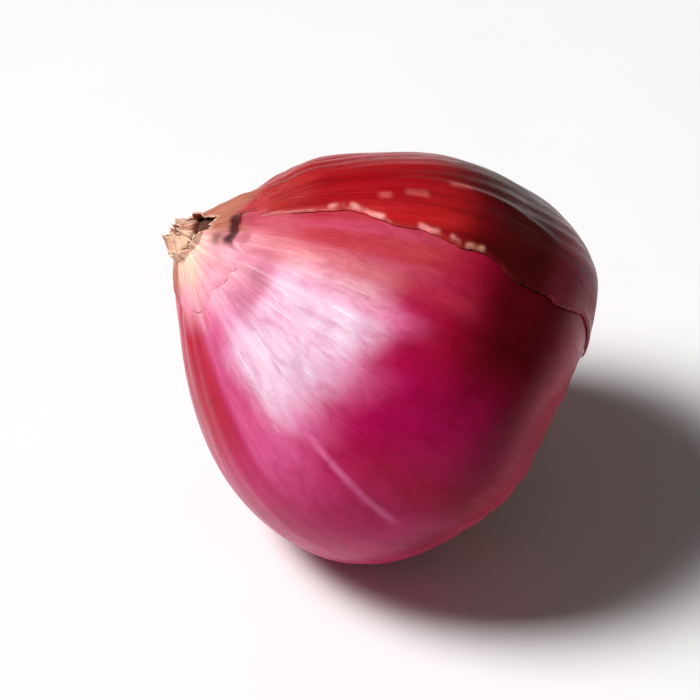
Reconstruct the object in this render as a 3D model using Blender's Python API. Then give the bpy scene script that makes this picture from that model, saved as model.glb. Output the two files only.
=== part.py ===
"""One small pink shallot, lying on its side with the neck raised. Metres, +Z up.

The bulb is modelled standing on its root, with its axis along its own Z, and an empty
then lays it down. Lengths along and across the axis are in bulb radii unless a name
ends in _M. The origin is the centre of the small flat spot that it lies on.
"""

import math
import random

import bmesh
import bpy
import numpy as np
from mathutils import Matrix, Vector

RADIUS_M = 0.0187          # half the width of the bulb in its close pink skin
WIDEST = -0.078            # where the bulb is widest along its axis
ROOT_DEPTH = 0.762         # centre of the bulb to its root end
ROOT_FULLNESS = 2.7        # over 2 is squarer than an ellipse
NECK_HALF_WIDTH = 0.125    # of the neck where it ends
NECK_AT = 1.141            # where the shoulders have narrowed to the neck
SHOULDER_FALL = 0.953      # over 1 draws the shoulders in to a cone
NECK_SIDESTEP = 0.035      # the neck leans a little off the axis
ROOT_SIDESTEP = 0.075      # and so does the root end
# Swellings and hollows of the skin: angle in degrees, place, height and spread.
DENTS = ((4, -0.69, -0.062, 0.20), (334, -0.68, 0.045, 0.26),
         (56, -0.62, 0.027, 0.20), (102, 0.48, -0.023, 0.20))

BULB_TOP = 1.03            # the pink skin ends here and the withered neck goes on
ROOT_SEAT = 0.235          # half-width of the flat end that the root plate sits on

NECK_RISE = math.radians(36)        # of the axis over the surface
NECK_HEADING = math.radians(176.6)  # of the axis, seen from above
SPIN = math.radians(127.4)          # of the bulb about its axis
REST_CUT_M = 0.0010                 # depth of the flat spot, which has to reach past its centre of mass

GAP_M = 0.0003             # between one piece and the next
SKIN_THICK_M = 0.0006      # of the dry outer skin
LIFT_M = 0.00035           # how far the torn edge of the outer skin stands off

BULB_SIDES = 68
BULB_RINGS = 36
SKIN_COLUMNS = 34
SKIN_ROWS = 25

NECK_TOP = 1.257           # tips of the withered neck
NECK_SIDES = 34
NECK_CRINKLE = 0.004
MOUTH_SIDE = math.radians(50)   # angle of the side where the neck is torn open
BLADE_THICK_M = 0.00065    # of its torn layers
ROOT_COUNT = 40
ROOT_BEND = Vector((-1, 0, 0))  # the side that the dried roots bend over to
SEED = 12


def clear_scene():
    for obj in list(bpy.data.objects):
        bpy.data.objects.remove(obj)


def smooth(x):
    """0 below 0, 1 above 1, and an even S between them."""
    x = np.clip(x, 0.0, 1.0)
    return x * x * (3 - 2 * x)


def half_width(t):
    """Half-width of the plain turned bulb at the place t on its axis."""
    t = np.asarray(t, float)
    below = np.clip((WIDEST - t) / (WIDEST + ROOT_DEPTH), 0.0, 1.0)
    above = np.clip((t - WIDEST) / (NECK_AT - WIDEST), 0.0, 1.0)
    root_side = (1 - below**ROOT_FULLNESS) ** (1 / ROOT_FULLNESS)
    neck_side = NECK_HALF_WIDTH + (1 - NECK_HALF_WIDTH) * (1 - above**2) ** SHOULDER_FALL
    return np.where(t < WIDEST, root_side, neck_side)


def lobes(phi, t):
    """Factor on the half-width: low ridges on the body, and pleats that gather at the neck."""
    body = 0.006 * np.sin(2 * phi + 0.9) + 0.005 * np.sin(3 * phi + 2.4) + 0.003 * np.sin(5 * phi + 0.7)
    pleats = 0.045 * np.sin(5 * phi + 0.4) + 0.035 * np.sin(8 * phi + 2.0) + 0.02 * np.sin(13 * phi + 1.1)
    at_root = 0.03 * np.sin(6 * phi + 1.0) + 0.02 * np.sin(9 * phi)
    return 1 + body + pleats * smooth((t - 0.66) / 0.5) + at_root * smooth((-t - 0.60) / 0.2)


def skin_radius(phi, t):
    """Half-width of the bulb at the angle phi and the place t, with its lobes and dents."""
    plain = half_width(t)
    radius = plain * lobes(phi, t)
    for angle, place, height, spread in DENTS:
        across = 2 * np.sin((phi - math.radians(angle)) / 2) * np.maximum(plain, 0.3)
        radius = radius + height * np.exp(-(across**2 + (t - place) ** 2) / spread**2)
    return radius


def sidestep(t):
    """How far the middle of the bulb stands off its axis at the place t."""
    return NECK_SIDESTEP * smooth((t - 0.3) / 0.8) + ROOT_SIDESTEP * smooth((-t - 0.1) / 0.65)


def surface(phi, t, out_m=0.0):
    """Point of the bulb's skin at the angle phi and the place t, moved out by out_m. Metres."""
    phi = np.asarray(phi, float)
    t = np.asarray(t, float)

    def at(p, s):
        r = skin_radius(p, s)
        return np.stack([r * np.cos(p), r * np.sin(p) + sidestep(s), s + 0 * p], axis=-1) * RADIUS_M

    here = at(phi, t)
    if np.ndim(out_m) == 0 and out_m == 0.0:
        return here
    step = 1e-3
    along = at(phi, np.minimum(t + step, 2.0)) - at(phi, t - step)
    around = at(phi + step, t) - at(phi - step, t)
    normal = np.cross(around, along)
    normal /= np.linalg.norm(normal, axis=-1, keepdims=True)
    return here + normal * np.asarray(out_m, float)[..., None]


def even_places(low, high, count):
    """Places on the axis from low to high that are evenly far apart over the skin."""
    fine = np.linspace(low, high, 2000)
    width = half_width(fine)
    run = np.concatenate([[0.0], np.cumsum(np.hypot(np.diff(fine), np.diff(width)))])
    return np.interp(np.linspace(0, run[-1], count), run, fine)


def seat_place():
    """Where the root side has narrowed to the seat of the root plate."""
    fine = np.linspace(-ROOT_DEPTH, WIDEST, 4000)
    return float(np.interp(ROOT_SEAT, half_width(fine), fine))


def material(name, colour, roughness):
    made = bpy.data.materials.new(name)
    made.use_nodes = True
    shader = made.node_tree.nodes["Principled BSDF"]
    shader.inputs["Base Color"].default_value = (*colour, 1)
    shader.inputs["Roughness"].default_value = roughness
    shader.inputs["Metallic"].default_value = 0
    return made


def mesh_object(name, points, faces, look=None):
    mesh = bpy.data.meshes.new(name)
    mesh.from_pydata([tuple(p) for p in points], [], faces)
    mesh.update()
    obj = bpy.data.objects.new(name, mesh)
    bpy.context.scene.collection.objects.link(obj)
    if look:
        mesh.materials.append(look)
    return obj


def finish(obj, parent):
    obj.data.shade_smooth()
    obj.data.set_sharp_from_angle(angle=math.radians(42))
    obj.parent = parent


def ring_faces(rings, sides, first=0):
    """Quads between stacked rings of points, with a flat cap on each end."""
    faces = []
    for row in range(rings - 1):
        for col in range(sides):
            a = first + row * sides + col
            b = first + row * sides + (col + 1) % sides
            faces.append((a, b, b + sides, a + sides))
    faces.append(tuple(first + col for col in reversed(range(sides))))
    faces.append(tuple(first + (rings - 1) * sides + col for col in range(sides)))
    return faces


def sheet_solid(name, outer, inner, look=None):
    """Closed thin solid between two grids of points, rows x columns x 3."""
    rows, cols = outer.shape[:2]
    points = np.concatenate([outer.reshape(-1, 3), inner.reshape(-1, 3)])
    back = rows * cols
    faces = []
    for r in range(rows - 1):
        for c in range(cols - 1):
            a = r * cols + c
            quad = (a, a + 1, a + cols + 1, a + cols)
            faces += [quad[:3], (quad[0], quad[2], quad[3])]
            b = tuple(back + i for i in quad)
            faces += [(b[2], b[1], b[0]), (b[3], b[2], b[0])]
    rim = [c for c in range(cols)]
    rim += [r * cols + cols - 1 for r in range(1, rows)]
    rim += [(rows - 1) * cols + c for c in range(cols - 2, -1, -1)]
    rim += [r * cols for r in range(rows - 2, 0, -1)]
    for a, b in zip(rim, rim[1:] + rim[:1]):
        faces += [(b, a, back + a), (b, back + a, back + b)]
    return mesh_object(name, points, faces, look)


def fuse(body, pieces):
    """Joins the pieces to the body in one union and removes them."""
    group = bpy.data.collections.new(body.name + "_pieces")
    for piece in pieces:
        group.objects.link(piece)
    union = body.modifiers.new("fuse", "BOOLEAN")
    union.operation = "UNION"
    union.solver = "EXACT"
    union.operand_type = "COLLECTION"
    union.collection = group
    bpy.context.view_layer.objects.active = body
    bpy.ops.object.modifier_apply(modifier=union.name)
    for piece in pieces:
        bpy.data.objects.remove(piece)
    bpy.data.collections.remove(group)


def lay_down(to_world, location):
    """The empty that lays the standing bulb on its side."""
    empty = bpy.data.objects.new("shallot", None)
    bpy.context.scene.collection.objects.link(empty)
    empty.matrix_world = Matrix.Translation(location) @ to_world.to_4x4()
    return empty


def build_bulb(to_world, look):
    """The bulb from root seat to neck, cut flat where it lies. Returns it and the spot's centre."""
    places = even_places(seat_place(), BULB_TOP, BULB_RINGS)
    phi = np.linspace(0, 2 * math.pi, BULB_SIDES, endpoint=False)
    points = [surface(phi, np.full(BULB_SIDES, t)) for t in places]
    points = np.concatenate(points)
    bulb = mesh_object("bulb", points, ring_faces(BULB_RINGS, BULB_SIDES), look)
    down = to_world.transposed() @ Vector((0, 0, -1))
    lowest = float((points @ np.array(down)).max())
    level = lowest - REST_CUT_M
    shell = bmesh.new()
    shell.from_mesh(bulb.data)
    cut = bmesh.ops.bisect_plane(
        shell, geom=shell.verts[:] + shell.edges[:] + shell.faces[:],
        plane_co=down * level, plane_no=down, clear_outer=True, dist=1e-7)
    loop = [e for e in cut["geom_cut"] if isinstance(e, bmesh.types.BMEdge)]
    bmesh.ops.edgeloop_fill(shell, edges=loop)
    corners = {v for e in loop for v in e.verts}
    middle = sum((v.co for v in corners), Vector()) / len(corners)
    bmesh.ops.recalc_face_normals(shell, faces=shell.faces)
    bmesh.ops.triangulate(shell, faces=shell.faces)
    shell.to_mesh(bulb.data)
    shell.free()
    return bulb, to_world @ middle


def skin_edges(t):
    """The two torn edges of the outer skin at the place t, as angles about the axis."""
    front = math.radians(40) + 0.13 * smooth(t / 0.7) + 0.025 * np.sin(9 * t + 0.5) + 0.015 * np.sin(21 * t)
    back = math.radians(192) + 0.09 * np.sin(6 * t + 2.0) + 0.04 * np.sin(17 * t + 1)
    back = back - 0.35 * smooth((-t - 0.35) / 0.4)
    return front, back


def skin_ends(u):
    """Where the outer skin starts at the root and ends at the neck, u from 0 to 1 across it."""
    low = -0.705 + 0.018 * np.sin(14 * u + 1.0) + 0.010 * np.sin(31 * u)
    high = 0.955 + 0.025 * np.sin(9 * u + 0.3) + 0.015 * np.sin(23 * u + 2.0) - 0.08 * u
    return low, high


def build_outer_skin(look):
    """The dry outer skin, torn off the front, as a thin shell clear of the bulb."""
    u = np.linspace(0, 1, SKIN_COLUMNS)
    even = even_places(-0.71, 0.955, SKIN_ROWS)
    share = (even - even[0]) / (even[-1] - even[0])
    low, high = skin_ends(u)
    t = low[None, :] + (high - low)[None, :] * share[:, None]
    front, back = skin_edges(t)
    phi = front + (back - front) * u[None, :]
    near_front = smooth(1 - u[None, :] / 0.10)
    waves = 0.5 + 0.5 * np.sin(11 * t + 1.2)
    lift = LIFT_M * near_front * waves
    outer = surface(phi, t, GAP_M + SKIN_THICK_M + lift)
    inner = surface(phi, t, GAP_M + lift)
    return sheet_solid("outer_skin", outer, inner, look)


def sheath(name, foot, floor, inset, opening, rim, look=None):
    """A papery sheath round the neck, set in from the skin: an open cup with a torn rim.

    On the side of the open mouth it is set in further, by opening.
    """
    phi = np.linspace(0, 2 * math.pi, NECK_SIDES, endpoint=False)
    top = rim(phi)
    thick = BLADE_THICK_M / RADIUS_M
    rings = []
    for start, share, depth in [(foot, v, 0.0) for v in (0.0, 0.35, 0.7, 1.0)] + \
                               [(floor, v, thick) for v in (1.0, 0.6, 0.0)]:
        t = start + (top - start) * share
        waves = np.sin(3 * phi + 0.4) + 0.7 * np.sin(5 * phi + 0.8) + 0.4 * np.sin(9 * phi)
        rise = smooth((t - BULB_TOP) / (NECK_TOP - BULB_TOP))
        set_in = inset + opening * (0.5 + 0.5 * np.cos(phi - MOUTH_SIDE)) ** 2
        r = half_width(t) * lobes(phi, t) - set_in - depth + NECK_CRINKLE * rise * waves
        rings.append(np.stack([r * np.cos(phi), r * np.sin(phi) + sidestep(t), t], axis=-1))
    points = np.concatenate(rings) * RADIUS_M
    return mesh_object(name, points, ring_faces(len(rings), NECK_SIDES), look)


def torn_blade(name, centre, width, radius, foot, top, lean, jag, columns=6, rows=3):
    """One torn papery tongue inside the neck: a curved upright strip with a jagged top."""
    u = np.linspace(-1, 1, columns)
    v = np.linspace(0, 1, rows)
    phi = centre + 0.5 * width * u
    tips = top - 0.03 * u**2 + 0.02 * np.sin(jag + 5 * u)
    t = foot + (tips[None, :] - foot) * v[:, None]
    r = radius * (1 + lean * v[:, None] ** 2 + 0 * phi[None, :])
    half = 0.5 * BLADE_THICK_M / RADIUS_M

    def grid(offset):
        x = (r + offset) * np.cos(phi)[None, :]
        y = (r + offset) * np.sin(phi)[None, :] + sidestep(t)
        return np.stack([x, y, t], axis=-1) * RADIUS_M

    return sheet_solid(name, grid(half), grid(-half))


def outer_rim(phi):
    """Torn rim of the outer straw sheath, lowest on the side of the open mouth."""
    torn = 0.012 * np.sin(4 * phi + 0.5) + 0.008 * np.sin(7 * phi + 2.0) + 0.005 * np.sin(15 * phi)
    return 1.18 - 0.02 * np.cos(phi - MOUTH_SIDE) + torn


def inner_rim(phi):
    """Torn rim of the inner straw sheath, the end of the shallot."""
    torn = 0.012 * np.sin(3 * phi + 1.0) + 0.010 * np.sin(6 * phi + 0.3) + 0.006 * np.sin(13 * phi)
    return NECK_TOP - 0.022 - 0.01 * np.cos(phi - MOUTH_SIDE) + torn


def build_neck_tip(look):
    """The withered end of the neck: two torn sheaths, one in the other, with a tongue in the mouth."""
    foot = BULB_TOP + GAP_M / RADIUS_M
    outer = sheath("neck_tip", foot, foot + 0.095, 0.0, 0.0, outer_rim, look)
    inner = sheath("inner", foot + 0.05, foot + 0.135, 0.022, 0.055, inner_rim)
    far_side = MOUTH_SIDE + math.pi
    tongue = torn_blade("tongue", far_side, 2.2, 0.024, foot + 0.11, 1.235, 0.0, 4.0)
    fuse(outer, [inner, tongue])
    return outer


def root_tube(name, path, radii, sides=4):
    """A dried root along the path, tapering to its tip."""
    points = []
    side = Vector((0, 0, 1))
    for i, (place, radius) in enumerate(zip(path, radii)):
        ahead = path[min(i + 1, len(path) - 1)] - path[max(i - 1, 0)]
        ahead.normalize()
        across = (side - ahead * side.dot(ahead))
        if across.length < 0.2:
            across = Vector((1, 0, 0)) - ahead * ahead.x
        across.normalize()
        up = ahead.cross(across)
        for k in range(sides):
            a = 2 * math.pi * k / sides
            points.append(place + (across * math.cos(a) + up * math.sin(a)) * radius)
    return mesh_object(name, points, ring_faces(len(path), sides))


def build_root_tuft(look):
    """The corky root plate with its short dried roots, all bent over to one side."""
    rng = random.Random(SEED)
    seat = seat_place() - GAP_M / RADIUS_M
    sides = 26
    phi = np.linspace(0, 2 * math.pi, sides, endpoint=False)
    points = []
    for depth, share in ((0.095, 0.42), (0.088, 0.70), (0.060, 0.90), (0.022, 1.0), (0.0, 0.97)):
        bumps = 1 + 0.05 * np.sin(5 * phi + 1) + 0.04 * np.sin(8 * phi)
        r = ROOT_SEAT * share * bumps
        x, y = r * np.cos(phi), r * np.sin(phi) + ROOT_SIDESTEP
        points.append(np.stack([x, y, np.full(sides, seat - depth)], axis=-1) * RADIUS_M)
    plate = mesh_object("root_tuft", np.concatenate(points), ring_faces(5, sides), look)
    pieces = []
    for i in range(ROOT_COUNT):
        spread = math.sqrt((i + 0.5) / ROOT_COUNT)
        around = i * math.pi * (3 - math.sqrt(5)) + rng.uniform(-0.2, 0.2)
        start_r = 0.205 * spread
        out = Vector((math.cos(around), math.sin(around), 0))
        twist = Vector((-math.sin(around), math.cos(around), 0)) * rng.uniform(-1, 1)
        length = rng.uniform(0.055, 0.08) + 0.022 * (1 - math.cos(around))
        place = out * start_r + Vector((0, ROOT_SIDESTEP, seat - 0.045 * (1 - 0.5 * spread)))
        heading = Vector((0, 0, -1)) + out * (0.1 + 0.4 * spread) + ROOT_BEND * 0.8 + twist * 0.25
        path = [place.copy()]
        for step in range(4):
            heading.normalize()
            place = place + heading * length / 4
            heading = heading + twist * 0.25 + out * 0.06 * spread + ROOT_BEND * 0.2
            path.append(place.copy())
        thick = rng.uniform(0.0165, 0.0215)
        radii = [thick * RADIUS_M * s for s in (1.0, 1.0, 0.92, 0.8, 0.55)]
        pieces.append(root_tube(f"root_{i}", [p * RADIUS_M for p in path], radii))
    fuse(plate, pieces)
    return plate


def main():
    clear_scene()
    to_world = (Matrix.Rotation(NECK_HEADING, 3, "Z") @ Matrix.Rotation(math.pi / 2 - NECK_RISE, 3, "Y")
                @ Matrix.Rotation(SPIN, 3, "Z"))
    pink = material("pink_skin", (0.52, 0.035, 0.16), 0.32)
    red = material("red_dry_skin", (0.30, 0.015, 0.025), 0.30)
    straw = material("straw_neck", (0.62, 0.42, 0.24), 0.65)
    tan = material("dried_root", (0.34, 0.19, 0.09), 0.8)
    bulb, spot = build_bulb(to_world, pink)
    pieces = [bulb, build_outer_skin(red), build_neck_tip(straw), build_root_tuft(tan)]
    empty = lay_down(to_world, -spot)
    for piece in pieces:
        finish(piece, empty)


main()
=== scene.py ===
"""Looks of the pink shallot: fine skins, torn edges, withered neck and dried roots.

The bulb stands on its own axis in bulb radii, and is laid down into the row frame by
LAY and PLACE. phi is the angle about the axis: 0 faces the camera, 90 degrees is its
upper right. t is the place along the axis, from the root (-) to the neck (+).
"""

import math
import random

import bpy
import numpy as np
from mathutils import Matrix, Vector


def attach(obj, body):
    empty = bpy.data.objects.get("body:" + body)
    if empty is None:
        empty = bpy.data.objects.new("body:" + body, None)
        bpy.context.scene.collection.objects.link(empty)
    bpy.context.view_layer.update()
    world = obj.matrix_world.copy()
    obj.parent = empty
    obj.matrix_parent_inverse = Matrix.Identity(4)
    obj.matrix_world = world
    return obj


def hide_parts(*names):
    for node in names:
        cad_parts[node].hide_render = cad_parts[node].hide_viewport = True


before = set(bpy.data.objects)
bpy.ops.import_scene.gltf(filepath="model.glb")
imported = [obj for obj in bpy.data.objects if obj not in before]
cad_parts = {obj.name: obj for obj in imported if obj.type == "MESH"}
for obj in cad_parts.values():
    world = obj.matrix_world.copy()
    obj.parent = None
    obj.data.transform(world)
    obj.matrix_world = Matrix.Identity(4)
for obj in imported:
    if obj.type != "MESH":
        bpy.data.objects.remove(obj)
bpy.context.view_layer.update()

# The bulb's own shape, as in the solid model.
RADIUS = 0.0187
WIDEST = -0.078
ROOT_DEPTH = 0.762
ROOT_FULLNESS = 2.7
NECK_HALF_WIDTH = 0.125
NECK_AT = 1.141
SHOULDER_FALL = 0.953
NECK_SIDESTEP = 0.035
ROOT_SIDESTEP = 0.075
# Dents and bulges: angle in degrees, place, height and spread.
DENTS = ((4, -0.69, -0.062, 0.20), (334, -0.68, 0.045, 0.26),
         (56, -0.62, 0.027, 0.20), (102, 0.48, -0.023, 0.20))
BULB_TOP = 1.03
ROOT_SEAT = 0.235
NECK_TOP = 1.257
NECK_CRINKLE = 0.004
MOUTH_SIDE = math.radians(50)
ROOT_GAP = 0.0003

# How it lies: columns are the bulb's own axes in the row frame.
NECK_RISE = math.radians(36)
NECK_HEADING = math.radians(176.6)
SPIN = math.radians(127.4)
PLACE = np.array([0.0027025, -0.0011270, 0.0175444])


def turn(angle, axis):
    c, s = math.cos(angle), math.sin(angle)
    if axis == "Z":
        return np.array([[c, -s, 0], [s, c, 0], [0, 0, 1]])
    return np.array([[c, 0, s], [0, 1, 0], [-s, 0, c]])


LAY = turn(NECK_HEADING, "Z") @ turn(math.pi / 2 - NECK_RISE, "Y") @ turn(SPIN, "Z")


def to_row(points):
    """Bulb axes in metres to the row frame, with nothing under the surface it lies on."""
    laid = np.asarray(points) @ LAY.T + PLACE
    laid[..., 2] = np.maximum(laid[..., 2], 0.0)
    return laid


def smooth(x):
    x = np.clip(x, 0.0, 1.0)
    return x * x * (3 - 2 * x)


def window(x, low, high, soft):
    """1 from low to high, falling to 0 over soft on either side."""
    return smooth((x - low + soft) / soft) * smooth((high + soft - x) / soft)


def half_width(t):
    t = np.asarray(t, float)
    below = np.clip((WIDEST - t) / (WIDEST + ROOT_DEPTH), 0.0, 1.0)
    above = np.clip((t - WIDEST) / (NECK_AT - WIDEST), 0.0, 1.0)
    root_side = (1 - below**ROOT_FULLNESS) ** (1 / ROOT_FULLNESS)
    neck_side = NECK_HALF_WIDTH + (1 - NECK_HALF_WIDTH) * (1 - above**2) ** SHOULDER_FALL
    return np.where(t < WIDEST, root_side, neck_side)


def lobes(phi, t):
    body = 0.006 * np.sin(2 * phi + 0.9) + 0.005 * np.sin(3 * phi + 2.4) + 0.003 * np.sin(5 * phi + 0.7)
    pleats = 0.045 * np.sin(5 * phi + 0.4) + 0.035 * np.sin(8 * phi + 2.0) + 0.02 * np.sin(13 * phi + 1.1)
    at_root = 0.03 * np.sin(6 * phi + 1.0) + 0.02 * np.sin(9 * phi)
    return 1 + body + pleats * smooth((t - 0.66) / 0.5) + at_root * smooth((-t - 0.60) / 0.2)


def skin_radius(phi, t):
    plain = half_width(t)
    radius = plain * lobes(phi, t)
    for angle, place, height, spread in DENTS:
        across = 2 * np.sin((phi - math.radians(angle)) / 2) * np.maximum(plain, 0.3)
        radius = radius + height * np.exp(-(across**2 + (t - place) ** 2) / spread**2)
    return radius


def sidestep(t):
    return NECK_SIDESTEP * smooth((t - 0.3) / 0.8) + ROOT_SIDESTEP * smooth((-t - 0.1) / 0.65)


def surface(phi, t, out=0.0):
    """Points of the bulb's skin in bulb axes and metres, moved out by out metres."""
    phi, t = np.broadcast_arrays(np.asarray(phi, float), np.asarray(t, float))

    def at(p, s):
        r = skin_radius(p, s)
        return np.stack([r * np.cos(p), r * np.sin(p) + sidestep(s), s], axis=-1) * RADIUS

    step = 1e-3
    along = at(phi, t + step) - at(phi, t - step)
    around = at(phi + step, t) - at(phi - step, t)
    normal = np.cross(around, along)
    normal /= np.linalg.norm(normal, axis=-1, keepdims=True)
    return at(phi, t) + normal * np.broadcast_to(out, phi.shape)[..., None]


def even_places(low, high, count):
    fine = np.linspace(low, high, 4000)
    run = np.concatenate([[0.0], np.cumsum(np.hypot(np.diff(fine), np.diff(half_width(fine))))])
    return np.interp(np.linspace(0, run[-1], count), run, fine)


def seat_place():
    fine = np.linspace(-ROOT_DEPTH, WIDEST, 4000)
    return float(np.interp(ROOT_SEAT, half_width(fine), fine))


def wander(phi, t, seed, around, along, count=14):
    """Even random waves of about unit size. around and along are the highest frequencies."""
    rng = np.random.default_rng(seed)
    total = np.zeros(np.broadcast(phi, t).shape)
    for _ in range(count):
        k = rng.integers(1, around + 1)
        w = rng.uniform(0.2, 1.0) * along
        total += np.sin(k * phi + w * t + rng.uniform(0, 2 * math.pi))
    return total / math.sqrt(count / 2)


def mix(a, b, share):
    a = np.asarray(a, float)
    b = np.asarray(b, float)
    return a + (b - a) * np.asarray(share)[..., None]


# ---- Meshes from grids of points -------------------------------------------------

class Grid:
    """Rows x columns of points in the row frame, with a colour and a vein coordinate each."""

    def __init__(self, points, phi, t, colour, wraps):
        self.points = to_row(points)
        self.phi, self.t = np.broadcast_arrays(phi, t)
        self.colour = np.broadcast_to(colour, self.points.shape)
        self.wraps = wraps

    def cells(self):
        """Row and column of each face."""
        rows, cols = self.points.shape[:2]
        return np.meshgrid(np.arange(rows - 1), np.arange(cols if self.wraps else cols - 1), indexing="ij")

    def faces(self, first, flip):
        cols = self.points.shape[1]
        r, c = self.cells()
        d = (c + 1) % cols
        quads = np.stack([r * cols + c, r * cols + d, (r + 1) * cols + d, (r + 1) * cols + c], -1)
        quads = quads.reshape(-1, 4) + first
        return quads[:, ::-1] if flip else quads

    def chart(self, flip, low, high):
        """Texture corners for each face, in the band low to high of the sheet."""
        r, c = self.cells()
        down, across = r.shape
        u = np.stack([c, c + 1, c + 1, c], -1) / across
        v = low + (high - low) * np.stack([r, r, r + 1, r + 1], -1) / down
        uv = np.stack([u, v], -1).reshape(-1, 4, 2)
        return uv[:, ::-1] if flip else uv


def mesh_from(name, points, faces, uvs, attributes, look):
    mesh = bpy.data.meshes.new(name)
    mesh.vertices.add(len(points))
    mesh.vertices.foreach_set("co", points.astype(np.float32).ravel())
    mesh.loops.add(faces.size)
    mesh.loops.foreach_set("vertex_index", faces.astype(np.int32).ravel())
    mesh.polygons.add(len(faces))
    mesh.polygons.foreach_set("loop_start", np.arange(0, faces.size, faces.shape[1], dtype=np.int32))
    mesh.update(calc_edges=True)
    mesh.polygons.foreach_set("use_smooth", np.ones(len(faces), bool))
    layer = mesh.uv_layers.new(name="OFBake")
    layer.data.foreach_set("uv", uvs.astype(np.float32).ravel())
    for key, values in attributes.items():
        made = mesh.attributes.new(key, "FLOAT_VECTOR", "POINT")
        made.data.foreach_set("vector", values.astype(np.float32).ravel())
    mesh.validate()
    mesh.materials.append(look)
    obj = bpy.data.objects.new(name, mesh)
    bpy.context.scene.collection.objects.link(obj)
    return obj


def attributes_of(grids):
    phi = np.concatenate([g.phi.ravel() for g in grids])
    t = np.concatenate([g.t.ravel() for g in grids])
    return {
        "tone": np.concatenate([g.colour.reshape(-1, 3) for g in grids]),
        "vein": np.stack([np.cos(phi), np.sin(phi), t], -1),
    }


def single_sheet(name, grid, look):
    """One grid as an object of its own."""
    return mesh_from(name, grid.points.reshape(-1, 3), grid.faces(0, False),
                     grid.chart(False, 0.0, 1.0), attributes_of([grid]), look)


# Where a thin skin's rims lie on its texture sheet, above its two faces.
RIM_BAND = 0.945
RIM_BAND_WIDTH = 0.02
RIM_BAND_GAP = 0.005


def thin_shell(name, outer, inner, look):
    """Two grids joined along their rims into one thin closed skin."""
    rows, cols = outer.points.shape[:2]
    back = rows * cols
    quads = [outer.faces(0, False), inner.faces(back, True)]
    charts = [outer.chart(False, 0.0, 0.49), inner.chart(True, 0.49, 0.94)]
    rims = [list(range(cols)), [(rows - 1) * cols + c for c in range(cols)][::-1]]
    if outer.wraps:
        rims = [rim + rim[:1] for rim in rims]
    else:
        ring = rims[0] + [r * cols + cols - 1 for r in range(1, rows)] + rims[1][1:]
        ring += [r * cols for r in range(rows - 2, -1, -1)]
        rims = [ring]
    low = RIM_BAND
    for rim in rims:
        a = np.array(rim[:-1])
        b = np.array(rim[1:])
        quads.append(np.stack([b, a, back + a, back + b], -1))
        n = len(a)
        left = np.arange(n) / n
        right = (np.arange(n) + 1) / n
        high = low + RIM_BAND_WIDTH
        corner = [(right, low), (left, low), (left, high), (right, high)]
        charts.append(np.stack([np.stack([u, np.full(n, v)], -1) for u, v in corner], 1))
        low = high + RIM_BAND_GAP
    points = np.concatenate([outer.points.reshape(-1, 3), inner.points.reshape(-1, 3)])
    return mesh_from(name, points, np.concatenate(quads), np.concatenate(charts),
                     attributes_of([outer, inner]), look)


# ---- Materials -------------------------------------------------------------------

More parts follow.
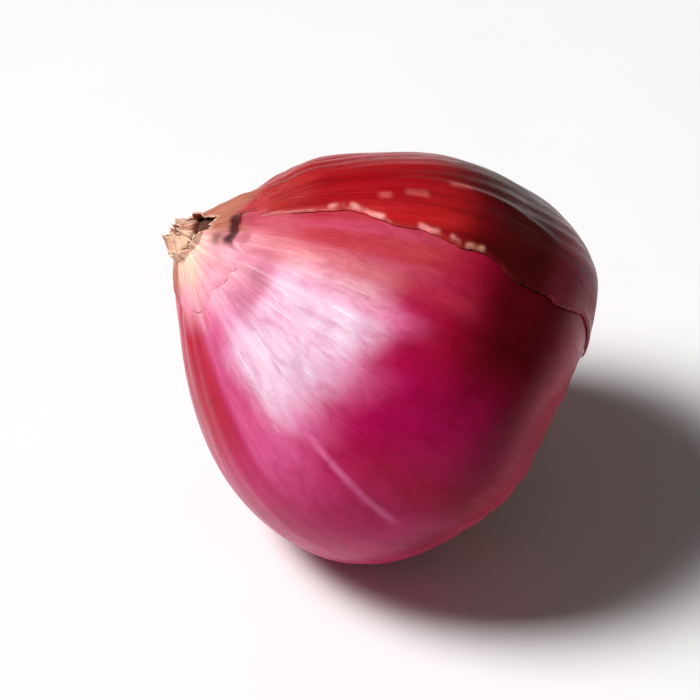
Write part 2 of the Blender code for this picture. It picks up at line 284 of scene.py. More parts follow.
class Look:
    """A node material with a few helpers."""

    def __init__(self, name, **constants):
        self.material = bpy.data.materials.new(name)
        self.material.use_nodes = True
        self.tree = self.material.node_tree
        self.shader = self.tree.nodes["Principled BSDF"]
        for socket, value in constants.items():
            self.shader.inputs[socket.replace("_", " ")].default_value = value

    def node(self, kind, **settings):
        made = self.tree.nodes.new(kind)
        for key, value in settings.items():
            setattr(made, key, value)
        return made

    def put(self, socket, value):
        if isinstance(value, bpy.types.NodeSocket):
            self.tree.links.new(value, socket)
        else:
            socket.default_value = value

    def attribute(self, name):
        return self.node("ShaderNodeAttribute", attribute_name=name).outputs["Vector"]

    def math(self, operation, a, b=0.0):
        made = self.node("ShaderNodeMath", operation=operation)
        for socket, value in zip(made.inputs, (a, b)):
            self.put(socket, value)
        return made.outputs[0]

    def scaled(self, vector, x, y, z):
        made = self.node("ShaderNodeVectorMath", operation="MULTIPLY")
        self.put(made.inputs[0], vector)
        made.inputs[1].default_value = (x, y, z)
        return made.outputs[0]

    def noise(self, vector, scale, detail=2.0, rough=0.5, distortion=0.0):
        made = self.node("ShaderNodeTexNoise", noise_dimensions="3D")
        self.put(made.inputs["Vector"], vector)
        made.inputs["Scale"].default_value = scale
        made.inputs["Detail"].default_value = detail
        made.inputs["Roughness"].default_value = rough
        made.inputs["Distortion"].default_value = distortion
        return made.outputs["Fac"]

    def ramp(self, value, low, high, to_low=0.0, to_high=1.0):
        """to_low where the value is low, turning smoothly to to_high where it is high."""
        made = self.node("ShaderNodeMapRange", interpolation_type="SMOOTHSTEP")
        self.put(made.inputs["Value"], value)
        made.inputs["From Min"].default_value = low
        made.inputs["From Max"].default_value = high
        made.inputs["To Min"].default_value = to_low
        made.inputs["To Max"].default_value = to_high
        return made.outputs["Result"]

    def blend(self, share, a, b, way="MIX"):
        made = self.node("ShaderNodeMix", data_type="RGBA", blend_type=way)
        self.put(made.inputs[0], share)
        for socket, value in ((made.inputs[6], a), (made.inputs[7], b)):
            self.put(socket, (*value, 1) if isinstance(value, tuple) else value)
        return made.outputs[2]

    def times(self, share, colour, factor):
        """The colour multiplied by the factor where share is 1."""
        return self.blend(share, colour, factor, "MULTIPLY")

    def veins(self, vector, frequency, drift, width):
        """Thin wandering lines along the bulb: 1 on a line, 0 between."""
        lines = self.noise(self.scaled(vector, frequency, frequency, drift), 1.0, 1.0, 0.4)
        off = self.math("ABSOLUTE", self.math("SUBTRACT", lines, 0.5))
        return self.ramp(off, 0.0, width, 1.0, 0.0)

    def bump(self, height, distance, strength, after=None):
        made = self.node("ShaderNodeBump")
        self.put(made.inputs["Height"], height)
        made.inputs["Distance"].default_value = distance
        made.inputs["Strength"].default_value = strength
        if after is not None:
            self.put(made.inputs["Normal"], after)
        return made.outputs["Normal"]

    def finish(self, colour, roughness, normal):
        self.put(self.shader.inputs["Base Color"], colour)
        self.put(self.shader.inputs["Roughness"], roughness)
        self.put(self.shader.inputs["Normal"], normal)
        return self.material


def pink_skin_look():
    look = Look("pink_skin", Specular_IOR_Level=0.10)
    tone = look.attribute("tone")
    vein = look.attribute("vein")
    streak = look.noise(look.scaled(vein, 7, 7, 1.8), 1.0, 4.0, 0.6, 0.4)
    pale = look.noise(look.scaled(vein, 9, 9, 3.2), 1.0, 4.0, 0.6, 0.6)
    fine = look.noise(look.scaled(vein, 30, 30, 6.0), 1.0, 3.0, 0.6)
    cloud = look.noise(look.scaled(vein, 3.4, 3.4, 4.2), 1.0, 5.0, 0.65, 0.5)
    mottle = look.noise(look.scaled(vein, 11, 11, 9), 1.0, 4.0, 0.6, 0.8)
    lines = look.veins(vein, 15, 0.8, 0.014)
    hair = look.veins(vein, 40, 1.8, 0.030)
    colour = look.times(look.ramp(streak, 0.42, 0.72, 0.0, 0.38), tone, (0.74, 0.52, 0.62))
    colour = look.times(look.ramp(pale, 0.52, 0.76, 0.0, 0.35), colour, (1.08, 1.5, 1.25))
    colour = look.times(look.ramp(cloud, 0.42, 0.72, 0.0, 0.7), colour, (0.82, 0.62, 0.68))
    colour = look.times(look.ramp(mottle, 0.44, 0.66, 0.0, 0.75), colour, (0.87, 0.68, 0.78))
    colour = look.times(look.ramp(fine, 0.5, 0.75, 0.0, 0.5), colour, (0.84, 0.66, 0.72))
    colour = look.times(look.math("MULTIPLY", lines, 0.22), colour, (1.15, 2.4, 1.7))
    colour = look.times(look.math("MULTIPLY", hair, 0.12), colour, (1.10, 1.6, 1.35))
    roughness = look.ramp(look.noise(look.scaled(vein, 14, 14, 6), 1.0, 3.0), 0.3, 0.7, 0.24, 0.36)
    normal = look.bump(lines, 0.00003, 0.35)
    normal = look.bump(fine, 0.00004, 0.30, normal)
    normal = look.bump(look.noise(look.scaled(vein, 20, 20, 16), 1.0, 3.0), 0.00008, 0.25, normal)
    return look.finish(colour, roughness, normal)


def red_skin_look():
    look = Look("red_dry_skin", Specular_IOR_Level=0.17)
    tone = look.attribute("tone")
    vein = look.attribute("vein")
    streak = look.noise(look.scaled(vein, 11, 11, 1.6), 1.0, 4.0, 0.6)
    fine = look.noise(look.scaled(vein, 40, 40, 4.0), 1.0, 3.0, 0.6)
    patch = look.noise(look.scaled(vein, 3.6, 3.6, 5.0), 1.0, 4.0, 0.65, 0.4)
    lines = look.veins(vein, 17, 0.9, 0.014)
    colour = look.times(look.ramp(streak, 0.42, 0.72, 0.0, 0.85), tone, (0.50, 0.45, 0.45))
    colour = look.times(look.ramp(patch, 0.50, 0.74, 0.0, 0.5), colour, (1.15, 2.2, 1.7))
    colour = look.times(look.math("MULTIPLY", lines, 0.4), colour, (1.25, 3.0, 2.4))
    colour = look.times(look.ramp(fine, 0.52, 0.78, 0.0, 0.6), colour, (0.72, 0.6, 0.6))
    roughness = look.ramp(look.noise(look.scaled(vein, 16, 16, 8), 1.0, 3.0), 0.3, 0.7, 0.27, 0.40)
    normal = look.bump(lines, 0.00003, 0.4)
    normal = look.bump(streak, 0.00007, 0.25, normal)
    normal = look.bump(look.noise(look.scaled(vein, 22, 22, 17), 1.0, 4.0), 0.00009, 0.35, normal)
    return look.finish(colour, roughness, normal)


def straw_look():
    look = Look("straw_neck", Specular_IOR_Level=0.25)
    tone = look.attribute("tone")
    vein = look.attribute("vein")
    fibre = look.noise(look.scaled(vein, 11, 11, 6), 1.0, 4.0, 0.65)
    blotch = look.noise(look.scaled(vein, 3.2, 3.2, 16), 1.0, 3.0, 0.6)
    lines = look.veins(vein, 9, 3.0, 0.03)
    colour = look.times(look.ramp(fibre, 0.42, 0.72, 0.0, 0.55), tone, (0.72, 0.56, 0.48))
    colour = look.times(look.ramp(blotch, 0.5, 0.75, 0.0, 0.5), colour, (0.82, 0.60, 0.54))
    colour = look.times(look.math("MULTIPLY", lines, 0.35), colour, (0.55, 0.38, 0.30))
    normal = look.bump(fibre, 0.00014, 0.6)
    normal = look.bump(blotch, 0.0002, 0.35, normal)
    return look.finish(colour, look.ramp(fibre, 0.3, 0.7, 0.5, 0.7), normal)


def root_look():
    look = Look("dried_root", Specular_IOR_Level=0.35)
    tone = look.attribute("tone")
    place = look.node("ShaderNodeTexCoord").outputs["Object"]
    grain = look.noise(place, 1400, 4.0, 0.6)
    colour = look.times(look.ramp(grain, 0.4, 0.7, 0.0, 0.8), tone, (0.45, 0.35, 0.28))
    normal = look.bump(grain, 0.00012, 0.7)
    return look.finish(colour, look.ramp(grain, 0.3, 0.7, 0.6, 0.85), normal)


# ---- Colours over the bulb -------------------------------------------------------

MAGENTA = (0.46, 0.003, 0.085)
ROSE = (0.56, 0.024, 0.150)
PINK = (0.76, 0.150, 0.350)
PALE_AND_HIGHLIGHT = (0.84, 0.61, 0.75)
CRIMSON = (0.44, 0.004, 0.034)
SHADE_MAROON = (0.085, 0.0010, 0.004)
SALMON = (0.50, 0.048, 0.064)
RED = (0.32, 0.0014, 0.005)
DARK_RED = (0.055, 0.0010, 0.0012)
BLUSH = (0.90, 0.42, 0.49)
CREAM = (0.95, 0.64, 0.47)
STRAW = (0.44, 0.15, 0.10)
PEACH = (0.66, 0.26, 0.16)
MAUVE_REFLECTION = (0.60, 0.060, 0.120)
CORK = (0.28, 0.13, 0.06)
POCKET_SHADE = (0.055, 0.014, 0.006)
WITHERED = (0.40, 0.15, 0.085)
DUSKY_PINK = (0.54, 0.19, 0.26)
PEACH_PINK = (0.85, 0.33, 0.33)
NECK_ROSE = (0.58, 0.11, 0.15)
NECK_RED = (0.46, 0.050, 0.048)
STREAK_RED = (0.42, 0.0040, 0.012)
BRIGHT_RED = (0.55, 0.018, 0.016)
RUST = (0.38, 0.026, 0.026)
GLINT_FLECK = (0.72, 0.14, 0.13)
TORN_EDGE = (0.50, 0.05, 0.045)
RIM_RED = (0.22, 0.02, 0.02)
GLINT_PINK = (0.92, 0.32, 0.32)
GLINT_CREAM = (0.80, 0.36, 0.22)
SKIN_INSIDE = (0.40, 0.10, 0.07)
UNDER_RIM_SHADE = (0.07, 0.006, 0.006)
NOTCH_SHADE = (0.20, 0.065, 0.04)
PLATE_BROWN = (0.34, 0.18, 0.085)
ROOT_BROWNS = ((0.42, 0.25, 0.12), (0.32, 0.17, 0.08), (0.52, 0.33, 0.17), (0.20, 0.09, 0.04))


def degrees(phi):
    return (np.degrees(phi) + 180) % 360 - 180


def span(phi, low, high, soft):
    """1 between the angles low and high in degrees, falling to 0 over soft on either side."""
    off = np.abs(degrees(phi - math.radians(0.5 * (low + high))))
    return smooth((0.5 * (high - low) + soft - off) / soft)


def straw_start(phi):
    """Where the skin turns to straw: nearer the bulb on the far upper side."""
    ragged = 0.008 * np.sin(9 * phi) + 0.006 * np.sin(17 * phi + 1)
    return 1.035 - 0.065 * span(phi, 90, 170, 30) + ragged


def neck_tone(phi, t, colour):
    """The colour turned through blush and straw to cream towards the tip of the neck."""
    rise = t - straw_start(phi)
    fine = wander(phi, 0.5 * t, 61, 30, 4.0, 20)
    front = span(phi, -70, 12, 30)
    colour = mix(colour, BLUSH, 0.85 * front * smooth((rise + 0.13) / 0.14))
    colour = mix(colour, STRAW, (1 - 0.9 * front) * smooth((rise + 0.02 + 0.01 * fine) / 0.05))
    top = span(phi, 40, 175, 22)
    tip = np.clip(0.30 + 0.70 * front - 0.50 * top + 0.2 * fine + smooth((t - 1.15) / 0.05), 0, 1)
    low_side = span(phi, -90, -38, 25)
    colour = mix(colour, CREAM, tip * smooth((rise - 0.03 + 0.04 * low_side) / 0.11))
    spots = smooth(fine - 0.6) * smooth(rise / 0.06)
    return mix(colour, WITHERED, 0.45 * (1 - 0.6 * front) * spots)


def pink_tone(phi, t):
    """Colour of the close pink skin: pale by the neck with a painted highlight, magenta in the middle, and
    painted shade in maroon on the upper right and at the root.
    """
    streak = wander(phi, t, 3, 26, 2.2, 20)
    band = wander(phi, t, 5, 9, 1.8, 12)
    slow = wander(phi, t, 6, 5, 3.0, 10)
    cloudy = wander(phi, t, 7, 20, 24, 24)
    colour = mix(MAGENTA, CRIMSON, smooth(0.40 + 0.35 * band) * smooth((0.75 - t) / 0.8))
    colour = mix(colour, ROSE, 0.75 * span(phi, -110, -42, 18) * smooth((0.75 - t) / 0.4))
    under_edge = span(phi, 36, 160, 16)
    colour = mix(colour, CRIMSON, 0.85 * under_edge * smooth((0.55 - t) / 0.3))
    # Painted shade: maroon on the upper right side and towards the root end.
    maroon_shade = smooth((0.22 + 0.08 * under_edge - t + 0.05 * slow) / 0.42) * span(phi, 20, 160, 28)
    maroon_shade = np.maximum(maroon_shade, 0.75 * smooth((-0.08 - t + 0.06 * slow) / 0.40) * span(phi, -46, 160, 26))
    colour = mix(colour, SHADE_MAROON, 0.94 * maroon_shade)
    rosy = smooth((t - 0.22 + 0.012 * streak + 0.025 * cloudy) / 0.30) * span(phi, -36, 12, 16)
    colour = mix(colour, PINK, 0.85 * rosy)
    # Pale zone on the front below the neck: partly the skin's own paler colour, partly a painted highlight.
    pale = smooth((t - 0.36 + 0.03 * slow + 0.015 * cloudy) / 0.28) * span(phi + 0.035 * cloudy, -37, 13, 16)
    pale = pale * (1 - 0.55 * smooth((t - 0.80) / 0.12))
    colour = mix(colour, PALE_AND_HIGHLIGHT, np.clip(pale * (0.90 + 0.04 * streak + 0.09 * slow + 0.05 * cloudy), 0, 1))
    colour = mix(colour, DUSKY_PINK, 0.85 * span(phi, -12, 40, 14) * window(t, 0.90, 0.99, 0.05))
    colour = mix(colour, PINK, 0.50 * span(phi, -57, -45, 5) * smooth((t - 0.05) / 0.5))
    colour = mix(colour, CRIMSON, 0.95 * span(phi, -96, -66, 7) * smooth((t - 0.35) / 0.35))
    line = -35.5 - 9 * (0.30 - t)
    vein = window(degrees(phi), line - 0.3, line + 0.3, 1.4) * window(t, -0.08, 0.42, 0.14)
    colour = mix(colour, PINK, 0.85 * vein)
    salmon = span(phi, 26, 62, 10) * smooth((t - 0.01 + 0.03 * cloudy) / 0.38)
    colour = mix(colour, SALMON, 0.92 * salmon)
    colour = mix(colour, PINK, np.clip(0.16 * streak, 0, 0.4) * smooth((t - 0.1) / 0.4))
    colour = mix(colour, PEACH_PINK, 0.45 * span(phi, 17, 23, 9) * window(t, 0.56, 0.82, 0.22))
    by_neck = mix(NECK_ROSE, NECK_RED, span(phi, 62, 175, 12))
    colour = mix(colour, by_neck, 0.9 * span(phi, 24, 255, 14) * smooth((t - 0.78) / 0.14))
    # Painted reflection of the pale floor: mauve towards the root.
    colour = mix(colour, MAUVE_REFLECTION, 0.75 * smooth((-t - 0.30 + 0.03 * slow) / 0.30))
    near_root = smooth((-t - 0.66 + 0.008 * streak) / 0.07)
    colour = mix(colour, PEACH, 0.7 * near_root)
    colour = mix(colour, CORK, 0.8 * smooth((-t - 0.735) / 0.02))
    return neck_tone(phi, t, colour)


# Painted glints as faint pale flecks on the red skin above its torn edge: place, half length, angle in
# degrees.
PAINTED_GLINT_FLECKS = ((0.43, 0.030, 58), (0.555, 0.008, 56), (0.24, 0.032, 65))


def red_tone(phi, t, edge):
    """Colour of the dry outer skin, with painted shade and painted glints. edge is 1 on its torn rim."""
    streak = wander(phi, t, 8, 24, 2.6, 18)
    slow = wander(phi, t, 9, 6, 4.0, 12)
    colour = mix(RED, STREAK_RED, np.clip(0.5 + 0.4 * streak, 0, 1))
    # Painted shade: nearly black on the upper right, from the middle towards the root.
    painted_shade = smooth((0.40 - t + 0.05 * slow) / 0.42) * span(phi, 20, 88, 44)
    colour = mix(colour, DARK_RED, 0.96 * painted_shade)
    colour = mix(colour, DARK_RED, 0.30 * smooth(slow) * span(phi, 80, 200, 40))
    bright = window(t, 0.28, 0.75, 0.16) * span(phi, 48, 62, 8)
    colour = mix(colour, BRIGHT_RED, 0.5 * bright * smooth(0.5 + 0.5 * streak))
    colour = mix(colour, RUST, 0.85 * smooth((t - 0.70 + 0.04 * streak) / 0.22))
    # Painted reflection of the pale floor: mauve towards the root.
    colour = mix(colour, MAUVE_REFLECTION, 0.70 * smooth((-t - 0.20 + 0.03 * slow) / 0.34))
    # Painted glints above the torn edge.
    for place, half, angle in PAINTED_GLINT_FLECKS:
        glint_fleck = window(t, place - half, place + half, 0.03) * span(phi, angle - 0.5, angle + 0.5, 1.8)
        colour = mix(colour, GLINT_FLECK, 0.5 * glint_fleck)
    return mix(colour, TORN_EDGE, 0.40 * edge * (1 - 0.9 * painted_shade))


# ---- The pieces ------------------------------------------------------------------

def relief(phi, t):
    """Fine height of the close skin in metres: ribs, dents, and creases at neck and root."""
    ribs = wander(phi, 0.6 * t, 12, 42, 1.0, 26)
    dents = wander(phi, t, 13, 6, 6.0, 14)
    creases = wander(phi, t, 14, 34, 2.5, 22)
    height = 0.000012 * ribs + 0.00004 * dents - 0.00014
    height = height + 0.00004 * creases * smooth((t - 0.60) / 0.35)
    return height + 0.00006 * creases * smooth((-t - 0.50) / 0.2)


def slit(phi):
    """1 on the short stretch where the rim of the skin stands off the neck."""
    return span(phi, 20, 52, 12)


def skin_rim(phi):
    """Where the close pink skin is torn off round the neck."""
    torn = 0.006 * np.sin(4 * phi + 1.0) + 0.004 * np.sin(9 * phi + 0.4) + 0.0025 * np.sin(23 * phi)
    return BULB_TOP + 0.004 + torn + 0.008 * slit(phi)


# Depth of the hollow under the root plate, in metres.
ROOT_END_HOLLOW = 0.0004


def make_bulb(look):
    """The close pink skin, from under the root plate to the inside of its torn rim."""
    cols, rows = 360, 246
    phi = np.linspace(0, 2 * math.pi, cols, endpoint=False)[None, :]
    seat = seat_place()
    rim = skin_rim(phi)
    even = even_places(seat, BULB_TOP, rows)
    share = ((even - seat) / (BULB_TOP - seat))[:, None]
    t = seat + share * (rim - seat)
    stand_off = (0.00030 * slit(phi) - 0.00018 * (1 - slit(phi))) * smooth((t - rim + 0.05) / 0.05)
    body = surface(phi, t, relief(phi, t) + stand_off)
    end = surface(phi, np.full((1, cols), seat))
    centre = end.mean(axis=1, keepdims=True)
    hollow = np.array([0, 0, ROOT_END_HOLLOW])
    root_rows = [centre + (end - centre) * k + hollow * (1 - k) for k in (0.02, 0.4, 0.8, 0.97)]
    inner_t = rim - np.array([-0.001, 0.0, 0.01, 0.04, 0.08])[:, None]
    depth = np.array([-0.00018, -0.00026, -0.00034, -0.0006, -0.0012])[:, None]
    depth = depth + 0.00040 * slit(phi) * np.array([1, 1, 0.9, 0.4, 0])[:, None]
    inner = surface(phi, inner_t, depth)
    points = np.concatenate(root_rows + [body, inner])
    t_all = np.concatenate([np.full((4, cols), seat), t, inner_t])
    colour = pink_tone(phi + 0 * t_all, t_all)
    rim_red = slit(phi) * smooth((t_all - rim + 0.012) / 0.012)
    colour = mix(colour, RIM_RED, 0.8 * rim_red)
    # Painted shade on the inside of the rim where it stands off the neck.
    painted_shade = np.zeros(t_all.shape)
    painted_shade[-4:] = np.array([0.3, 0.75, 0.95, 1.0])[:, None] * slit(phi)
    colour = mix(colour, POCKET_SHADE, painted_shade)
    return single_sheet("bulb_skin", Grid(points, phi, t_all, colour, True), look)


# Painted glints on the torn front edge of the outer skin, where its lip also rises: place along the bulb and
# half length.
PAINTED_GLINTS = ((0.735, 0.014), (0.615, 0.055), (0.37, 0.042), (0.245, 0.010), (0.15, 0.032))


def skin_edges(t):
    """The two torn edges of the outer skin at the place t, as angles about the axis."""
    front = math.radians(40) + 0.13 * smooth(t / 0.7) + 0.025 * np.sin(9 * t + 0.5) + 0.015 * np.sin(21 * t)
    back = math.radians(192) + 0.09 * np.sin(6 * t + 2.0) + 0.04 * np.sin(17 * t + 1)
    back = back - 0.35 * smooth((-t - 0.35) / 0.4)
    return front, back


def skin_ends(u):
    """Where the outer skin starts at the root and ends at the neck, u from 0 to 1 across it."""
    low = -0.705 + 0.018 * np.sin(14 * u + 1.0) + 0.010 * np.sin(31 * u)
    high = 0.955 + 0.025 * np.sin(9 * u + 0.3) + 0.015 * np.sin(23 * u + 2.0) - 0.08 * u
    return low, high


# Outer skin in metres: its length from root to neck, how far it stands off, how far its edges
# and its neck end are let down, and its thickness.
SKIN_LENGTH = 0.035
SKIN_LIFT = 0.00074
SKIN_LET_DOWN = 0.00052
SKIN_PRESSED = 0.00015
SKIN_THICKNESS = 0.00010


def make_outer_skin(look):
    """The dry outer skin, torn open along its front and back edges."""
    cols, rows = 236, 200
    v = np.linspace(0, 1, cols)[None, :]
    u = v - 0.125 * np.sin(2 * math.pi * v)
    even = even_places(-0.71, 0.955, rows)
    share = ((even - even[0]) / (even[-1] - even[0]))[:, None]
    low, high = skin_ends(u)
    fray = 0.004 * np.sin(61 * u + 2) + 0.003 * np.sin(97 * u + 1)
    t = (low + fray) + (high - low + fray) * share
    front, back = skin_edges(t)
    jag = 0.0030 * np.sin(47 * t + 1) + 0.0022 * np.sin(83 * t) + 0.0012 * np.sin(151 * t + 2)
    phi = front + jag + (back + 3 * jag - front - jag) * u
    width = (back - front) * half_width(t) * RADIUS
    from_front = u * width
    from_back = (1 - u) * width
    from_ends = np.minimum(share, 1 - share) * SKIN_LENGTH
    edge = np.maximum(1 - smooth(from_front / 0.0007), 1 - smooth(from_back / 0.0009))
    edge = np.maximum(edge, 1 - smooth(from_ends / 0.0010))
    metres = half_width(t) * RADIUS
    lie = np.minimum((phi - front) * metres / 0.0045, (back - phi) * metres / 0.003)
    lie = 1 - smooth(np.minimum(lie, from_ends / 0.004))
    pressed = 1 - smooth((1 - share) * SKIN_LENGTH / 0.003)
    top = SKIN_LIFT - SKIN_LET_DOWN * lie - SKIN_PRESSED * pressed
    uneven = smooth(0.75 + 0.35 * wander(0 * t, t, 71, 1, 110, 16))
    glint = sum(window(t, place - half, place + half, 0.022) for place, half in PAINTED_GLINTS) * uneven
    lip = (0.00005 + 0.00004 * glint) * np.exp(-((from_front - 0.00045) / 0.00030) ** 2)
    fold_at = 62 + 3 * np.sin(4 * t)
    fold = 0.00018 * np.exp(-((degrees(phi) - fold_at) / 2.0) ** 2) * window(t, -0.15, 0.45, 0.15)
    crinkle = 0.00005 * wander(phi, t, 21, 20, 9, 18) + 0.00002 * wander(phi, t, 22, 60, 7, 22)
    round_off = 0.00008 * (1 - smooth(from_front / 0.00030))
    height = relief(phi, t) * lie + top + lip + fold + crinkle * (1 - 0.8 * lie) - round_off
    outer = surface(phi, t, height)
    inner = surface(phi, t, height - SKIN_THICKNESS)
    # Painted highlights on the lip of the torn edge, pink, turning cream towards the root.
    shine = glint * np.exp(-((from_front - 0.00042 - 0.00016 * np.sin(29 * t)) / 0.00030) ** 2)
    glint_colour = mix(GLINT_PINK, GLINT_CREAM, smooth((0.20 - t) / 0.04))
    tone = mix(red_tone(phi, t, edge), glint_colour, 0.85 * shine)
    inside = mix(tone, SKIN_INSIDE, np.full(t.shape, 0.5))
    return thin_shell("outer_dry_skin", Grid(outer, phi, t, tone, False),
                      Grid(inner, phi, t, inside, False), look)


# Thickness of the neck's papery layers, in bulb radii.
SHEATH_THICKNESS = 0.010
TONGUE_HALF_THICKNESS = 0.004


def outer_rim(phi):
    """Where the outer sheath of the neck is torn off, lowest on the mouth's side."""
    torn = 0.012 * np.sin(4 * phi + 0.5) + 0.008 * np.sin(7 * phi + 2.0) + 0.005 * np.sin(15 * phi)
    return 1.18 - 0.02 * np.cos(phi - MOUTH_SIDE) + torn - 0.035 * span(phi, 35, 72, 14)


def inner_rim(phi):
    """Where the inner sheath of the neck is torn off."""
    torn = 0.012 * np.sin(3 * phi + 1.0) + 0.010 * np.sin(6 * phi + 0.3) + 0.006 * np.sin(13 * phi)
    return NECK_TOP - 0.032 - 0.01 * np.cos(phi - MOUTH_SIDE) + torn


def neck_points(phi, t, r):
    """Points in metres at the distance r from the axis, which steps aside towards the neck."""
    return np.stack([r * np.cos(phi), r * np.sin(phi) + sidestep(t), t], -1) * RADIUS


def make_sheath(name, foot, inset, opening, curl, rim, seed, inner_dark, look):
    """A papery sheath of the neck with a torn rim, open at the top.

    opening sets it in on the mouth's side, curl sets its rim in all round, and inner_dark
    is 1 for a sheath whose foot is in the shade of another.
    """
    cols, rows = 300, 64
    phi = np.linspace(0, 2 * math.pi, cols, endpoint=False)[None, :]
    top = rim(phi) + 0.002 * np.sin(37 * phi) + 0.0028 * wander(phi, 0 * phi, seed, 44, 1.0, 16)
    v = np.linspace(0, 1, rows)[:, None]
    t = foot + (top - foot) * v
    waves = np.sin(3 * phi + 0.4) + 0.7 * np.sin(5 * phi + 0.8) + 0.4 * np.sin(9 * phi)
    rise = smooth((t - BULB_TOP) / (NECK_TOP - BULB_TOP))
    set_in = inset + opening * (0.5 + 0.5 * np.cos(phi - MOUTH_SIDE)) ** 2
    over = t - skin_rim(phi)
    set_in = set_in + 0.021 * (1 - smooth((over + 0.06) / 0.06))
    set_in = set_in + 0.016 * slit(phi) * (1 - smooth(over / 0.05))
    fine = wander(phi, t, seed + 1, 26, 14, 24) * smooth(over / 0.05)
    set_in = set_in + curl * smooth((v - 0.62) / 0.38)
    r = skin_radius(phi, t) - set_in + NECK_CRINKLE * rise * waves + 0.0042 * fine
    edge = smooth((v - 0.92) / 0.08)
    side = degrees(phi)
    colour = neck_tone(phi + 0 * t, t, mix(SALMON, PINK, span(phi, -80, 20, 25) + 0 * t))
    colour = mix(colour, CREAM, 0.5 * edge + 0 * t)
    # Painted shade on the sheath beneath the lifted rim of the skin.
    under_rim_shade = slit(phi) * (1 - smooth((over - 0.018) / 0.022))
    colour = mix(colour, UNDER_RIM_SHADE, under_rim_shade)
    # Painted shade: a near-black spot for a slit between the neck's layers.
    notch_shade = np.exp(-((side - 18) / 12) ** 2 - ((t - 1.098) / 0.020) ** 2)
    colour = mix(colour, NOTCH_SHADE, 0.9 * notch_shade * (1 - inner_dark))
    # Painted shade: the inside darkens towards the foot, and a shaded sheath darkens below its top.
    hollow = np.clip(1.0 - 1.3 * v + 0 * t, 0, 1)
    colour = mix(colour, POCKET_SHADE, 0.9 * inner_dark * (1 - smooth((t - 1.13) / 0.05)))
    inside = mix(colour, POCKET_SHADE, hollow)
    return thin_shell(name, Grid(neck_points(phi, t, r), phi, t, colour, True),
                      Grid(neck_points(phi, t, r - SHEATH_THICKNESS), phi, t, inside, True), look)


def make_tongue(name, centre, width, radius, foot, top, lean, jag, look):
    """One torn papery tongue in the mouth of the neck."""
    cols, rows = 60, 40
    u = np.linspace(-1, 1, cols)[None, :]
    v = np.linspace(0, 1, rows)[:, None]
    phi = centre + 0.5 * width * u
    tips = top - 0.02 * u**2 + 0.012 * np.sin(jag + 5 * u) + 0.005 * np.sin(17 * u + jag)
    t = foot + (tips - foot) * v
    fine = wander(3 * phi, t, 31, 12, 20, 16)
    r = radius * (1 + lean * v**2) + 0.003 * fine
    # Painted shade at the foot of each tongue, far down in the mouth, turning to cream at the tip.
    colour = mix(POCKET_SHADE, CREAM, smooth(v * 1.6 - 0.35) + 0 * t)
    return thin_shell(name, Grid(neck_points(phi, t, r + TONGUE_HALF_THICKNESS), phi, t, colour, False),
                      Grid(neck_points(phi, t, r - TONGUE_HALF_THICKNESS), phi, t, colour, False), look)


def tube(path, radii, sides):
    """Points of a round root along the path."""
    path = np.asarray(path)
    ahead = np.gradient(path, axis=0)
    ahead /= np.linalg.norm(ahead, axis=1, keepdims=True)
    side = np.cross(ahead, np.array([0.31, 0.77, 0.55]))
    side /= np.linalg.norm(side, axis=1, keepdims=True)
    up = np.cross(ahead, side)
    a = np.linspace(0, 2 * math.pi, sides, endpoint=False)
    ring = side[:, None] * np.cos(a)[None, :, None] + up[:, None] * np.sin(a)[None, :, None]
    return path[:, None] + ring * np.asarray(radii)[:, None, None]


ROOT_COUNT = 150
ROOT_STEPS = 9
ROOT_SIDES = 6
ROOT_SEED = 5
GOLDEN_ANGLE = math.pi * (3 - math.sqrt(5))
# Rings of the corky plate: depth below the seat, and share of the seat's width.
PLATE_RINGS = ((-0.012, 0.90), (0.0, 0.97), (0.022, 1.0), (0.045, 0.95), (0.066, 0.86),
               (0.082, 0.74), (0.090, 0.58), (0.094, 0.40), (0.096, 0.20), (0.096, 0.03))
ROOT_BEND = np.array([-1.0, 0, 0])


def plate_rings(noise, seat):
    """Points and colours of the corky plate, ring by ring."""
    cols = 96
    phi = np.linspace(0, 2 * math.pi, cols, endpoint=False)
    rings, shades = [], []
    for depth, share in PLATE_RINGS:
        bumps = 1 + 0.05 * np.sin(5 * phi + 1) + 0.04 * np.sin(8 * phi)
        bumps = bumps + 0.02 * np.sin(23 * phi + depth * 60)
        r = ROOT_SEAT * share * bumps
        z = seat - depth + 0.006 * noise.normal(size=cols) * (depth > 0.02)
        rings.append(np.stack([r * np.cos(phi), r * np.sin(phi) + ROOT_SIDESTEP, z], -1))
        shades.append(np.tile(0.8 + 0.4 * noise.random((cols, 1)), (1, 3)) * np.array(PLATE_BROWN))
    return np.array(rings) * RADIUS, np.array(shades)


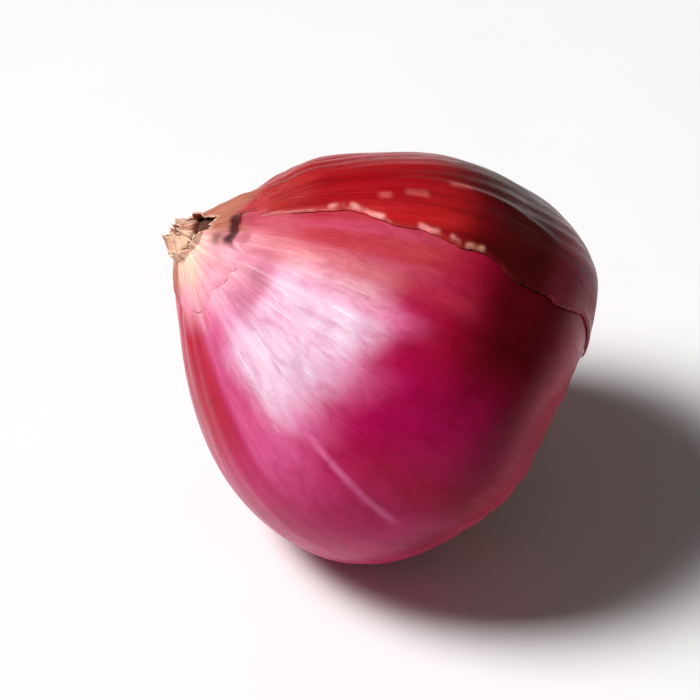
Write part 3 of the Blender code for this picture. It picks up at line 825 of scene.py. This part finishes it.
def root_rings(i, rng, noise, seat):
    """Points and colours of the dried root number i, ring by ring."""
    spread = math.sqrt((i + 0.5) / ROOT_COUNT)
    around = i * GOLDEN_ANGLE + rng.uniform(-0.2, 0.2)
    out = np.array([math.cos(around), math.sin(around), 0])
    sway = np.array([-math.sin(around), math.cos(around), 0]) * rng.uniform(-1, 1)
    length = rng.uniform(0.05, 0.085) + 0.022 * (1 - math.cos(around))
    place = out * 0.205 * spread + np.array([0, ROOT_SIDESTEP, seat - 0.045 * (1 - 0.5 * spread)])
    heading = np.array([0, 0, -1]) + out * (0.1 + 0.4 * spread) + ROOT_BEND * 0.8 + sway * 0.25
    path = [place]
    for _ in range(ROOT_STEPS):
        heading = heading / np.linalg.norm(heading)
        path.append(path[-1] + heading * length / ROOT_STEPS)
        kink = noise.normal(size=3) * 0.14
        heading = heading + (sway * 0.25 + out * 0.06 * spread + ROOT_BEND * 0.2) * 0.45 + kink
    thick = rng.uniform(0.007, 0.0145)
    radii = thick * np.linspace(1.0, 0.45, len(path)) * (1 + 0.12 * noise.normal(size=len(path)))
    radii[-1] *= 0.3
    points = tube(np.array(path) * RADIUS, radii * RADIUS, ROOT_SIDES)
    fade = np.linspace(0.75, 1.15, len(path))[:, None, None]
    return points, np.broadcast_to(np.array(rng.choice(ROOT_BROWNS)) * fade, points.shape)


def make_roots(look):
    """The corky plate and its dried roots as one piece."""
    rng = random.Random(ROOT_SEED)
    noise = np.random.default_rng(ROOT_SEED)
    seat = seat_place() - ROOT_GAP / RADIUS
    made = [plate_rings(noise, seat)]
    made += [root_rings(i, rng, noise, seat) for i in range(ROOT_COUNT)]
    grids = [Grid(points, 0.0, np.zeros(points.shape[:2]), tone, True) for points, tone in made]
    first, faces, charts = 0, [], []
    squares = math.ceil(math.sqrt(len(grids)))
    for i, grid in enumerate(grids):
        faces.append(grid.faces(first, True))
        uv = grid.chart(True, 0.0, 1.0)
        corner = np.array([i % squares, i // squares])
        charts.append((uv * 0.9 + 0.05 + corner) / squares)
        first += grid.points.shape[0] * grid.points.shape[1]
    points = np.concatenate([g.points.reshape(-1, 3) for g in grids])
    tone = np.concatenate([g.colour.reshape(-1, 3) for g in grids])
    return mesh_from("roots", points, np.concatenate(faces), np.concatenate(charts), {"tone": tone}, look)


# Tongues: angle, width as an angle, distance from the axis, foot, top, lean, and a number
# that sets their jags.
FAR_SIDE = MOUTH_SIDE + math.pi
TONGUES = ((FAR_SIDE, 2.2, 0.030, 1.13, 1.240, 0.0, 4.0),
           (FAR_SIDE + 0.8, 1.4, 0.052, 1.13, 1.228, -0.2, 1.0),
           (FAR_SIDE - 1.2, 1.6, 0.044, 1.12, 1.236, -0.3, 2.2),
           (MOUTH_SIDE - 0.9, 1.5, 0.020, 1.12, 1.222, 0.5, 5.1))


def dress():
    """Every piece, each riding on the one body in place of the solid that it stands for."""
    pink, red, straw, root = pink_skin_look(), red_skin_look(), straw_look(), root_look()
    bulb = make_bulb(pink)
    skin = make_outer_skin(red)
    outer = make_sheath("neck_outer_sheath", BULB_TOP - 0.04, 0.002, 0.0, 0.006, outer_rim, 41, 0.0, straw)
    inner = make_sheath("neck_inner_sheath", BULB_TOP + 0.05, 0.022, 0.045, 0.040, inner_rim, 51, 1.0, straw)
    tongues = [make_tongue(f"neck_tongue_{i}", *numbers, straw) for i, numbers in enumerate(TONGUES)]
    roots = make_roots(root)
    dressed = [(bulb, "bulb", "pink_skin"), (skin, "outer_skin", "red_dry_skin")]
    dressed += [(piece, "neck_tip", "straw_neck") for piece in (outer, inner, *tongues)]
    dressed += [(roots, "root_tuft", "dried_root")]
    for piece, node, slot in dressed:
        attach(piece, "root")
        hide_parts(node)


# ---- Floor, light and camera -----------------------------------------------------

CAMERA_RISE = math.radians(42)
CAMERA_AWAY = 0.60
CAMERA_LENS = 345
CAMERA_AIM = (-0.0002, 0.0, 0.0175)
FLOOR_HALF_WIDTH = 3.0
FLOOR_GREYS = ((0.80, 0.80, 0.80), (0.81, 0.81, 0.81))
WORLD_STRENGTH = 0.10
KEY_FROM = (-0.589, 0.003, 0.807)
KEY_TO = (0.0, 0.0, 0.0173)
KEY_AWAY = 1.2
KEY_WIDTH = 0.50
KEY_WATTS = 1.55
KEY_COLOUR = (1.0, 0.985, 0.985)
KEY_SPREAD = math.radians(40)


def key_light():
    lamp = bpy.data.lights.new("key", "AREA")
    lamp.shape = "RECTANGLE"
    lamp.size = lamp.size_y = KEY_WIDTH
    lamp.energy = KEY_WATTS
    lamp.color = KEY_COLOUR
    lamp.spread = KEY_SPREAD
    obj = bpy.data.objects.new("key", lamp)
    bpy.context.scene.collection.objects.link(obj)
    target = Vector(KEY_TO)
    obj.location = target + Vector(KEY_FROM).normalized() * KEY_AWAY
    obj.rotation_euler = (target - obj.location).to_track_quat("-Z", "Y").to_euler()


def pale_floor():
    far = FLOOR_HALF_WIDTH
    mesh = bpy.data.meshes.new("floor")
    mesh.from_pydata([(-far, -far, 0), (far, -far, 0), (far, far, 0), (-far, far, 0)], [], [(0, 1, 2, 3)])
    floor = bpy.data.objects.new("floor", mesh)
    bpy.context.scene.collection.objects.link(floor)
    pale = Look("pale_floor", Specular_IOR_Level=0.2)
    grain = pale.noise(pale.node("ShaderNodeTexCoord").outputs["Object"], 60, 2.0)
    shade = pale.ramp(grain, 0.3, 0.7, 0.0, 1.0)
    pale.finish(pale.blend(shade, *FLOOR_GREYS), 0.7, pale.bump(grain, 0.0001, 0.02))
    mesh.materials.append(pale.material)
    return floor


def front_camera():
    camera = bpy.data.cameras.new("camera")
    camera.lens = CAMERA_LENS
    camera.sensor_width = 36
    camera.clip_start = 0.01
    eye = bpy.data.objects.new("camera", camera)
    bpy.context.scene.collection.objects.link(eye)
    toward = Vector((0, -math.cos(CAMERA_RISE), math.sin(CAMERA_RISE)))
    eye.location = Vector(CAMERA_AIM) + toward * CAMERA_AWAY
    eye.rotation_euler = (-toward).to_track_quat("-Z", "Y").to_euler()
    return eye


def stage():
    scene = bpy.context.scene
    ground = pale_floor()
    world = bpy.data.worlds.new("studio")
    world.use_nodes = True
    world.node_tree.nodes["Background"].inputs["Color"].default_value = (1, 1, 1, 1)
    world.node_tree.nodes["Background"].inputs["Strength"].default_value = WORLD_STRENGTH
    scene.world = world
    key_light()
    scene.camera = front_camera()
    scene.view_settings.view_transform = "Standard"
    scene.view_settings.look = "None"


dress()
stage()
